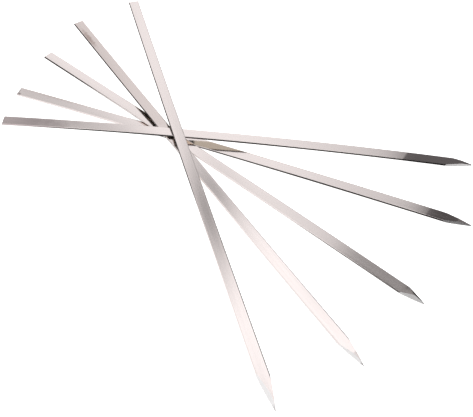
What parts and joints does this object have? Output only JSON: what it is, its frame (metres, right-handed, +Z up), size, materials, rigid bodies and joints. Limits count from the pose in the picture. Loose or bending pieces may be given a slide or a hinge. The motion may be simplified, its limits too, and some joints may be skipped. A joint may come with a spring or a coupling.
{
  "type": "kebab skewer set",
  "caption": "Loose flat steel kebab skewers with square tails and ground spear points, fanned out and piled where they cross.",
  "frame": {"origin": "middle of the bounding box at the level of the table that the skewers lie on", "axes": "+Z up off the table, +X along the skewer that lies level across the fan, from its tail to its point, +Y away from the viewer"},
  "size_m": [0.45, 0.4196, 0.0318],
  "materials": {
    "blade_steel": "stainless strip, satin to half mirror, with faint streaks along the blade and a ground point"
  },
  "bodies": {
    "skewer_1": {"skewer_1": "blade_steel"},
    "skewer_2": {"skewer_2": "blade_steel"},
    "skewer_3": {"skewer_3": "blade_steel"},
    "skewer_4": {"skewer_4": "blade_steel"},
    "skewer_5": {"skewer_5": "blade_steel"}
  },
  "joints": [
    {"name": "lift_2", "type": "slide", "parent": "skewer_1", "child": "skewer_2", "axis": [0, 0, 1], "range_m": [0, 0.06]},
    {"name": "lift_3", "type": "slide", "parent": "skewer_2", "child": "skewer_3", "axis": [0, 0, 1], "range_m": [0, 0.06]},
    {"name": "lift_4", "type": "slide", "parent": "skewer_3", "child": "skewer_4", "axis": [0, 0, 1], "range_m": [0, 0.06]},
    {"name": "lift_5", "type": "slide", "parent": "skewer_4", "child": "skewer_5", "axis": [0, 0, 1], "range_m": [0, 0.06]}
  ]
}
